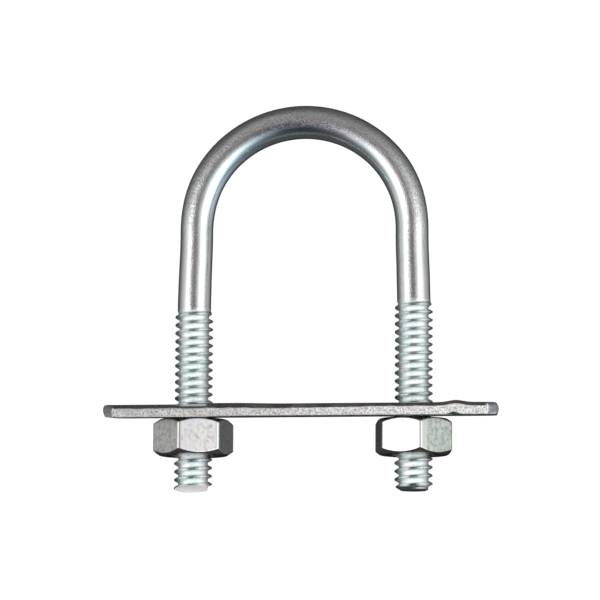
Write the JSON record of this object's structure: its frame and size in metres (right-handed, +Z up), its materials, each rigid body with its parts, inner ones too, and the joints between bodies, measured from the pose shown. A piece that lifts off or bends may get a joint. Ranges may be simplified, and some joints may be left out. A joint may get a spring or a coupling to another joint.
{
  "type": "u-bolt eye",
  "caption": "Round-rod U-bolt eye with threaded legs, a flat clamp plate that slides on them, and hex nuts beneath the plate.",
  "frame": {"origin": "centre of the bounding box's base, midway between the two legs at the level of their cut ends", "axes": "+Z up along the legs from their cut ends towards the arch, +X from the left leg to the right leg, +Y through the eye"},
  "size_m": [0.0604, 0.016, 0.0603],
  "materials": {
    "zinc_rod": "bright zinc plate over drawn rod, faint lengthwise draw marks and dull grey patches",
    "zinc_plate": "bright zinc plate, smooth faces, rough sheared edges",
    "zinc_nut": "bright zinc plate over machined flats, faint tool marks"
  },
  "bodies": {
    "u_bolt": {"u_bolt": "zinc_rod"},
    "plate": {"clamp_plate": "zinc_plate"},
    "nut_left": {"hex_nut_left": "zinc_nut"},
    "nut_right": {"hex_nut_right": "zinc_nut"}
  },
  "joints": [
    {"name": "clamp_travel", "type": "slide", "parent": "u_bolt", "child": "plate", "axis": [0, 0, 1], "range_m": [-0.0054, 0.015]},
    {"name": "nut_left_spin", "type": "hinge", "parent": "plate", "child": "nut_left", "pos_m": [-0.01715, 0, 0.0083], "axis": [0, 0, 1], "range_deg": [-1531, 4253]},
    {"name": "nut_right_spin", "type": "hinge", "parent": "plate", "child": "nut_right", "pos_m": [0.01715, 0, 0.0083], "axis": [0, 0, 1], "range_deg": [-1531, 4253]}
  ],
  "couplings": [
    {"joint": "nut_left_spin", "follows": "clamp_travel", "rad_per_m": 4947.4},
    {"joint": "nut_right_spin", "follows": "clamp_travel", "rad_per_m": 4947.4}
  ]
}
